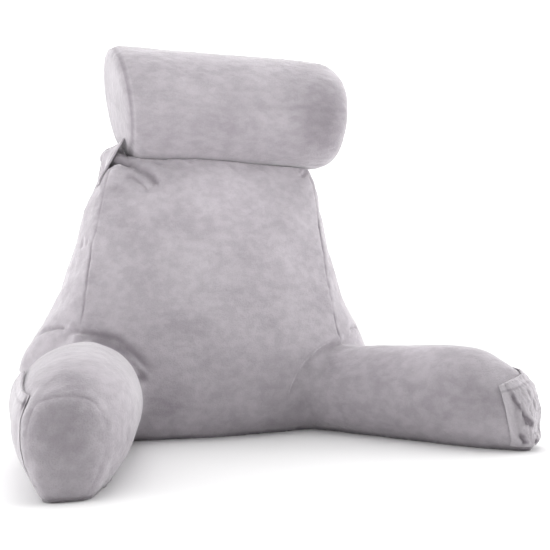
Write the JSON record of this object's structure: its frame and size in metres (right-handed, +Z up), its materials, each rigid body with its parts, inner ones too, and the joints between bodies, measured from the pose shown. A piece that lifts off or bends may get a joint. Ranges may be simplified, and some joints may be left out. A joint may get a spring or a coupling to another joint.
{
  "type": "reading pillow with arms",
  "caption": "Plush reading pillow: a filled backrest with two rounded arms that reach forward, gathered side pockets and a neck roll tied along the top.",
  "frame": {"origin": "on the floor, under the middle of the part's box", "axes": "+Z up, the sitter faces -Y, +X is towards the splayed arm, on the right of the picture"},
  "size_m": [0.8492, 0.6232, 0.7065],
  "materials": {
    "pillow_plush": "short matt pile",
    "neck_roll_plush": "short matt pile",
    "tab_plush": "short matt pile",
    "pocket_plush": "short matt pile"
  },
  "bodies": {
    "root": {"reading_pillow": "pillow_plush", "neck_roll": "neck_roll_plush", "roll_tab": "tab_plush", "left_pocket": "pocket_plush", "right_pocket": "pocket_plush"}
  },
  "joints": []
}
